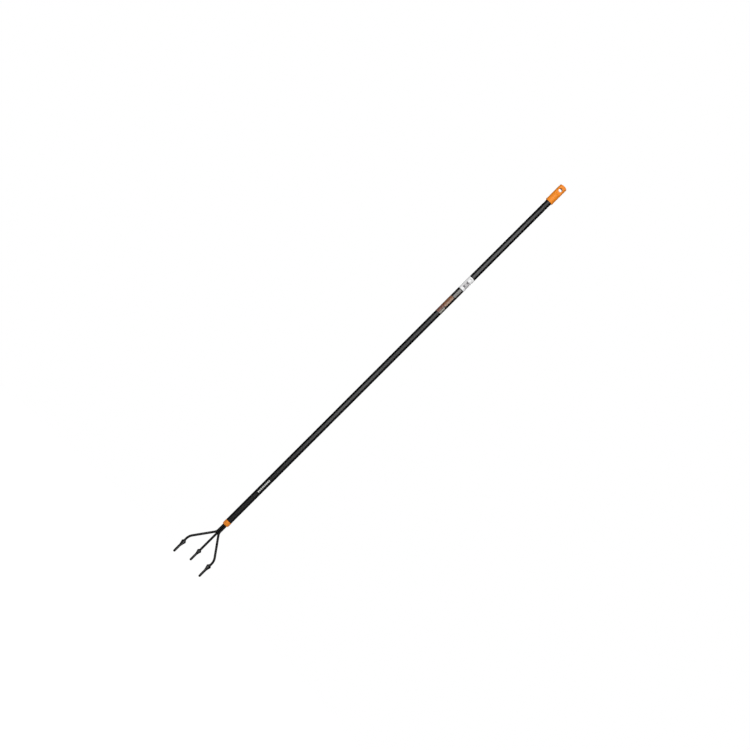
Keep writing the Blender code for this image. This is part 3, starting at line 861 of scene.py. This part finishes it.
def printedFilm(name, base, second, prints, roughness):
    # self-adhesive polypropylene film: smooth and glossy, slightly uneven from the tube's coat, its print
    # fully flat
    material, add, place = newMaterial(name, base)
    flat = add("ShaderNodeUVMap", uv_map="labelSheet")
    ripple = add(noise, {"Vector": place, "Scale": 180.0, "Detail": 2.0})  # 5 mm waves
    dust = add(noise, {"Vector": place, "Scale": 1500.0, "Detail": 3.0})
    tone = add(mix, {0: ripple, 6: toLinear(base), 7: toLinear(second)}, data_type="RGBA")
    # slanted tints 5 mm apart, with ragged edges as a halftone has
    ink = add("ShaderNodeTexWave", {
        "Vector": flat, "Scale": 0.089, "Distortion": 2.5, "Detail": 3.0, "Detail Scale": 2.0},
        bands_direction="DIAGONAL").outputs["Fac"]
    for across, down, width, height, deep, pale in prints:
        shifted = add(vectorMaths, (flat, (across, down, 0.0)), operation="SUBTRACT")
        sides = add(splitXYZ, (add(vectorMaths, (shifted,), operation="ABSOLUTE"),)).outputs
        overX = add(maths, (sides["X"], width / 2), operation="SUBTRACT")
        overY = add(maths, (sides["Y"], height / 2), operation="SUBTRACT")
        over = add(maths, (overX, overY, labels["inkRound"]), operation="SMOOTH_MAX")
        mask = add(mapRange, (over, 0.0, labels["inkEdge"], 1.0, 0.0))
        colour = add(mix, {0: ink, 6: toLinear(deep), 7: toLinear(pale)}, data_type="RGBA")
        tone = add(mix, {0: mask, 6: tone, 7: colour}, data_type="RGBA")
    gloss = add(mapRange, (dust, 0.3, 0.7, roughness - 0.03, roughness + 0.05))
    return paint(material, tone, gloss, (ripple, 0.2, 0.00008), {"Specular IOR Level": 0.42})


def makeLabel(name, sizes, material, slotName, nodeName):
    inner, outer = shared["tubeRadius"] + labels["inner"], shared["tubeRadius"] + labels["outer"]
    corner, soft = labels["corner"], labels["edge"]
    half = math.radians(sizes["turn"] / 2)
    edge = corner / outer
    count = math.ceil(sizes["turn"] / labels["step"])
    cornerTurns = [edge * (1 - math.cos(math.radians(15 * k))) for k in range(6)]
    turns = [-half + a for a in cornerTurns]
    turns += [-half + edge + (half - edge) * 2 * i / count for i in range(count + 1)]
    turns += [half - a for a in reversed(cornerTurns)]
    rings = []
    for turn in turns:
        fromEdge = min((half - abs(turn)) * outer, corner)
        shrink = corner - math.sqrt(corner ** 2 - (corner - fromEdge) ** 2)
        ray = Vector((math.sin(turn), -math.cos(turn), 0))
        low, high = sizes["top"] - sizes["length"] + shrink, sizes["top"] - shrink
        section = ((inner, low), (outer - soft, low), (outer, low + soft),
                   (outer, high - soft), (outer - soft, high), (inner, high))
        rings.append([ray * r + Vector((0, 0, z)) for r, z in section])
    label = addObject(name, skinRings(name, rings))
    label.data.set_sharp_from_angle(angle=shared["sharpTurn"])
    sheet = label.data.uv_layers.new(name="labelSheet")
    for loop in label.data.loops:
        point = label.data.vertices[loop.vertex_index].co
        # millimetres from the front's middle and from the label's top
        across = math.atan2(point.x, -point.y) * outer * 1000
        sheet.uv[loop.index].vector = (across, (point.z - sizes["top"]) * 1000)
    finishPiece(label, material, slotName, nodeName)


# Ink marks near the head, a plain row of bars

inkMarks = {
    "count": 9,
    "middle": -1.2962,
    "pitch": 0.0058,
    "length": 0.0042,
    "width": 0.0051,
    "thickness": 0.00003,
    "above": 0.00002,
}


def screenInk():
    # white screen ink on the coat: matt, thin enough that the coat's peel and some black show through
    material, add, place = newMaterial("screenInk", "#d8d8d6")
    mesh = add(noise, {"Vector": place, "Scale": 2600.0, "Detail": 2.0})
    peel = add(noise, {"Vector": place, "Scale": 700.0, "Detail": 2.0})
    thin = add(mapRange, (mesh, 0.3, 0.45, 0.0, 1.0))
    tone = add(mix, {0: thin, 6: toLinear("#7c7c7b"), 7: toLinear("#cfcfcc")}, data_type="RGBA")
    rough = add(mapRange, (mesh, 0.3, 0.7, 0.5, 0.62))
    return paint(material, tone, rough, (peel, 0.25, 0.00006))


def inkTree(material):
    # one thin bar, repeated along the handle and then wrapped round the tube's front
    tree, add, given = newTree("inkBars", {
        "Count": "Int", "Pitch": "Float", "Bar Length": "Float", "Bar Width": "Float",
        "Thickness": "Float", "Tube Radius": "Float", "First": "Vector"})
    bar = add("GeometryNodeMeshGrid", {
        "Size X": given["Bar Width"], "Size Y": given["Bar Length"], "Vertices X": 15, "Vertices Y": 11})
    place = add(splitXYZ, (add(ownPosition),)).outputs
    scaled = []
    for axis, other in (("X", "Bar Width"), ("Y", "Bar Length")):
        # each side draws in a little towards the bar's ends, which rounds its corners
        share = add(maths, (place[axis], given[other]), operation="DIVIDE")
        double = add(maths, (share, 2.0), operation="MULTIPLY")
        power = add(maths, (double, 8.0), operation="POWER")
        scaled.append(add(maths, (power, -0.14, 1.0), operation="MULTIPLY_ADD"))
    x = add(maths, (place["X"], scaled[1]), operation="MULTIPLY")
    y = add(maths, (place["Y"], scaled[0]), operation="MULTIPLY")
    rounded = add(setPosition, {"Geometry": bar, "Position": add(joinXYZ, (x, y))})
    raised = add("GeometryNodeExtrudeMesh", {
        "Mesh": rounded, "Offset Scale": given["Thickness"], "Individual": False})
    under = add("GeometryNodeFlipFaces", {"Mesh": rounded})
    both = add("GeometryNodeJoinGeometry", (raised,))
    setSockets(tree, both, (under,))
    closed = add("GeometryNodeMergeByDistance", {"Geometry": both, "Distance": 0.000005})
    step = add(joinXYZ, {"Y": given["Pitch"]})
    row = add("GeometryNodeMeshLine", {
        "Count": given["Count"], "Start Location": given["First"], "Offset": step})
    bars = add("GeometryNodeInstanceOnPoints", {"Points": row, "Instance": closed})
    real = add("GeometryNodeRealizeInstances", {"Geometry": bars})
    turn = add(maths, (place["X"], given["Tube Radius"]), operation="DIVIDE")
    sine = add(maths, (turn,), operation="SINE")
    cosine = add(maths, (turn,), operation="COSINE")
    reach = add(maths, (place["Z"], given["Tube Radius"]), operation="ADD")
    rightward = add(maths, (reach, sine), operation="MULTIPLY")
    frontward = add(maths, (reach, cosine), operation="MULTIPLY")
    toFront = add(maths, (frontward, -1.0), operation="MULTIPLY")
    wrapped = add(joinXYZ, (rightward, toFront, place["Y"]))
    return endTree(tree, add(setPosition, {"Geometry": real, "Position": wrapped}), material)


def makeInkMarks():
    sizes = inkMarks
    material = screenInk()
    first = sizes["middle"] - sizes["pitch"] * (sizes["count"] - 1) / 2
    mesh = growMesh("inkMarks", inkTree(material), {
        "Count": sizes["count"], "Pitch": sizes["pitch"], "Bar Length": sizes["length"],
        "Bar Width": sizes["width"], "Thickness": sizes["thickness"],
        "Tube Radius": shared["tubeRadius"] + sizes["above"], "First": (0.0, first, 0.0)})
    body = bmesh.new()
    body.from_mesh(mesh)
    bmesh.ops.recalc_face_normals(body, faces=body.faces)
    body.to_mesh(mesh)
    body.free()
    mesh.set_sharp_from_angle(angle=shared["sharpTurn"])
    finishPiece(addObject("inkMarks", mesh), material, None)


# Stage: camera, lamps, floor and world

stage = {
    "metresPerPixel": 0.0031,  # at the handle
    "cameraDistance": 4.5,
    "cameraAim": (-0.0009, -0.80985),  # across and up
    "cameraTurn": (0.7078, 0.7064),  # the handle lies from lower left to upper right
    "floorZ": -2.05,
    "floorSize": 24.0,
    "floorFade": (0.9, 2.4),  # where the paper turns into the white background
    "floorLift": 0.5,  # what the paper is lightened by for the camera
    "ambient": 0.24,  # what the world and the far floor give the object
    # each softbox: radiance, width, height, place and the point that it faces
    "softboxes": {
        "frontSoftbox0": (4.8, 4.4, 0.42, (0, -2.6, -1.03), (0, 0, -1.03)),
        "frontSoftbox1": (5.9, 4.4, 0.52, (0, -2.6, 0.06), (0, 0, 0.06)),
        "overheadSoftbox": (0.5, 2.0, 2.0, (-0.7, -0.5, 1.6), (0, 0, -0.9)),
        # narrow enough to show only as a rim in the photograph's view, and bright enough to light the back
        "rearSoftbox": (4.6, 1.7, 2.8, (0, 2.9, 0.0), (0, 0, -0.8)),
        "lowSoftbox": (5.0, 0.2, 0.06, (0, 0.012, -2.0), (0, 0.012, -1.5)),
    },
    # black flags: corners seen from above, lower edge and upper edge
    "flags": {
        "flagLeft": ([(-2.3, -2.5), (-2.3, 3.0), (-0.9, 3.0)], -2.03, 2.0),
        "flagRight": ([(2.3, -2.5), (2.3, 3.0), (0.9, 3.0)], -2.03, 2.0),
        "flagBelow": ([(-2.3, -2.7), (0.0, -2.7), (2.3, -2.7)], -2.03, -1.25),
        "flagAbove": ([(-2.3, -2.7), (0.0, -2.7), (2.3, -2.7)], 0.32, 2.0),
        "flagBehind": ([(-0.9, 3.0), (0.0, 3.0), (0.9, 3.0)], -1.1, 0.1),
    },
    "flagFloorZ": -2.03,
    "flagFloorHalf": 1.3,
}


def squarePoints(half, z):
    return [(-half, -half, z), (half, -half, z), (half, half, z), (-half, half, z)]


def makeCamera():
    # straight from the front, with the photograph's frame of 750 pixels
    pixels, sensor, distance = 750, 36.0, stage["cameraDistance"]
    roll = math.atan2(*stage["cameraTurn"])
    look = Vector((0, 1, 0))
    up = Vector((-math.sin(roll), 0, math.cos(roll)))
    data = bpy.data.cameras.new("photoCamera")
    data.sensor_width = sensor
    data.lens = distance / stage["metresPerPixel"] / pixels * sensor
    camera = addObject("photoCamera", data)
    camera.matrix_world = Matrix((look.cross(up), up, -look)).transposed().to_4x4()
    camera.matrix_world.translation = Vector((stage["cameraAim"][0], -distance, stage["cameraAim"][1]))
    scene.camera = camera


def backgroundLevel(add):
    # 1, which is white, for the camera and in reflections, and the ambient level for the light on the object
    path = add("ShaderNodeLightPath").outputs
    seen = add(maths, (path["Is Camera Ray"], path["Is Glossy Ray"]), operation="MAXIMUM")
    shown = add(maths, (seen, path["Is Transmission Ray"]), operation="MAXIMUM")
    return add(mapRange, {"Value": shown, "To Min": stage["ambient"], "To Max": 1.0})


def makeWorld():
    world = bpy.data.worlds.new("whiteStudio")
    world.use_nodes = True
    tree = world.node_tree
    level = backgroundLevel(partial(addNode, tree))
    setSockets(tree, tree.nodes["Background"], {"Color": (1.0, 1.0, 1.0, 1.0), "Strength": level})
    scene.world = world


def makeFloor():
    # white paper that goes over into the white background away from the object
    material = bpy.data.materials.new("whitePaper")
    material.use_nodes = True
    material.node_tree.nodes.clear()
    add = partial(addNode, material.node_tree)
    place = add("ShaderNodeTexCoord").outputs["Object"]
    flat = add(vectorMaths, (place, (1.0, 1.0, 0.0)), operation="MULTIPLY")
    away = add(vectorMaths, (flat,), operation="LENGTH")
    far = add(mapRange, (away, *stage["floorFade"]), interpolation_type="SMOOTHSTEP")
    fibres = add(noise, {"Vector": place, "Scale": 300.0})
    white = add(mix, {0: fibres, 6: toLinear("#f0f0f0"), 7: toLinear("#f4f4f4")}, data_type="RGBA")
    paper = add("ShaderNodeBsdfDiffuse", {"Color": white})
    seen = add("ShaderNodeLightPath").outputs["Is Camera Ray"]
    lift = add(maths, (seen, stage["floorLift"]), operation="MULTIPLY")
    near = add("ShaderNodeAddShader", (paper, add("ShaderNodeEmission", {"Strength": lift})))
    glow = add("ShaderNodeEmission", {"Strength": backgroundLevel(add)})
    both = add("ShaderNodeMixShader", (far, near, glow))
    output = add("ShaderNodeOutputMaterial", {"Surface": both})
    output.is_active_output = True
    points = squarePoints(stage["floorSize"] / 2, stage["floorZ"])
    floor = addSheet("floor", points, [(0, 1, 2, 3)], material)


def addSoftbox(name, radiance, width, height, centre, target):
    data = bpy.data.lights.new(name, "AREA")
    data.shape = "RECTANGLE"
    data.size, data.size_y = width, height
    data.energy = radiance * width * height * math.pi  # an area lamp spreads its watts over pi steradians
    lamp = addObject(name, data)
    lamp.location = centre
    lamp.rotation_euler = (Vector(target) - Vector(centre)).to_track_quat("-Z", "Y").to_euler()
    lamp.visible_camera = False


def makeFlags():
    # black flags beside the handle, as a studio uses them: seen only in reflections, they darken its flanks
    material = bpy.data.materials.new("blackFlag")
    material.use_nodes = True
    shader = material.node_tree.nodes["Principled BSDF"]
    setSockets(material.node_tree, shader, {"Base Color": (0.0, 0.0, 0.0, 1.0), "Specular IOR Level": 0.0})
    flags = []
    for name, (corners, bottom, top) in stage["flags"].items():
        points = [(x, y, z) for z in (bottom, top) for x, y in corners]
        flags.append(addSheet(name, points, [(0, 1, 4, 3), (1, 2, 5, 4)], material))
    points = squarePoints(stage["flagFloorHalf"], stage["flagFloorZ"])
    flags.append(addSheet("flagFloor", points, [(0, 1, 2, 3)], material))
    for flag in flags:
        flag.visible_camera = False
        flag.visible_diffuse = False
        flag.visible_transmission = False
        flag.visible_shadow = False


def makeStage():
    makeCamera()
    makeWorld()
    makeFloor()
    makeFlags()
    for name, facts in stage["softboxes"].items():
        addSoftbox(name, *facts)
    print("stage ready")


makeStage()
makeHandleTube()
makeEndCap()
makeFerrule()
makeRollPin()
makeWelds(makeTines())
whiteFilm = printedFilm("whitePrintedFilm", "#e9e9ea", "#f0f0f0", wrapLabel["print"], 0.34)
makeLabel("wrapLabel", wrapLabel, whiteFilm, "white_film", "wrap_label")
darkFilm = printedFilm("darkPrintedFilm", "#171413", "#1d1a18", printedLabel["print"], 0.4)
makeLabel("printedLabel", printedLabel, darkFilm, "dark_film", "printed_label")
makeInkMarks()
